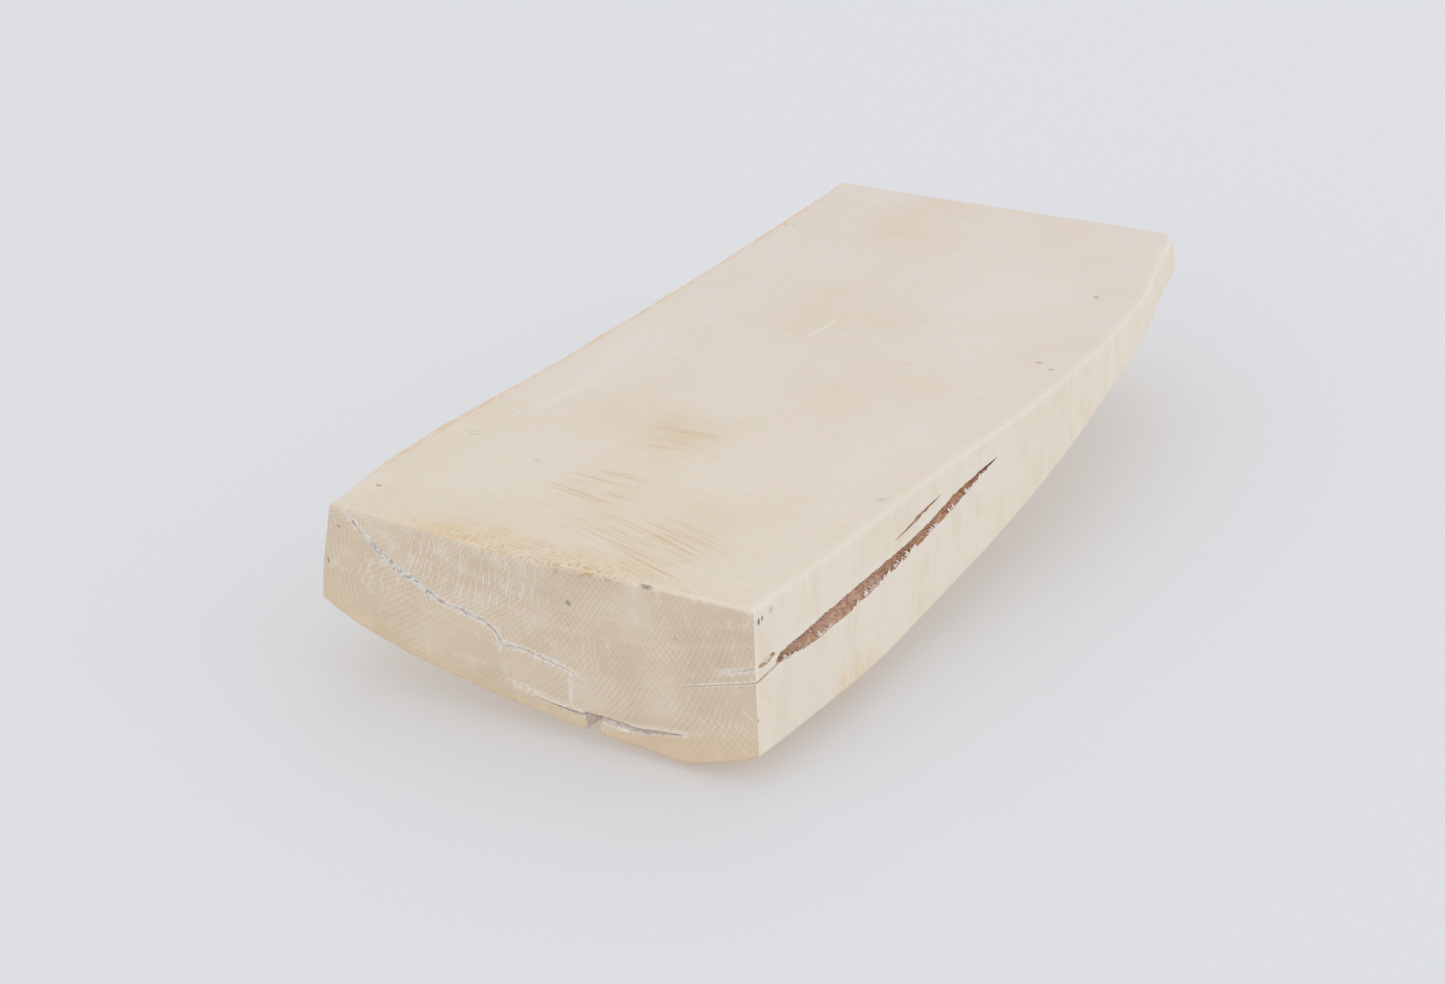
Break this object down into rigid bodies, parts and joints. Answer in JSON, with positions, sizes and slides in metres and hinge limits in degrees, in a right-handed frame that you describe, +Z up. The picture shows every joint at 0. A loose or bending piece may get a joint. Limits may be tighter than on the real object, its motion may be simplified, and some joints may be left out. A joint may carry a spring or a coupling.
{
  "type": "ivory slab blank",
  "caption": "Thick sawn slab of tusk ivory with one broad flat face, a curved outer underside, a thick end, a thin end, and drying splits in its side and end.",
  "frame": {"origin": "centre of the bounding box in plan, at the lowest point of the curved underside", "axes": "+Z up, out of the broad sawn face; +Y along the slab from the thick sawn end to the thin end; +X towards the side with the open split"},
  "size_m": [0.0916, 0.2, 0.031],
  "materials": {
    "ivory": "satin"
  },
  "bodies": {
    "root": {"ivory_slab": "ivory"}
  },
  "joints": []
}
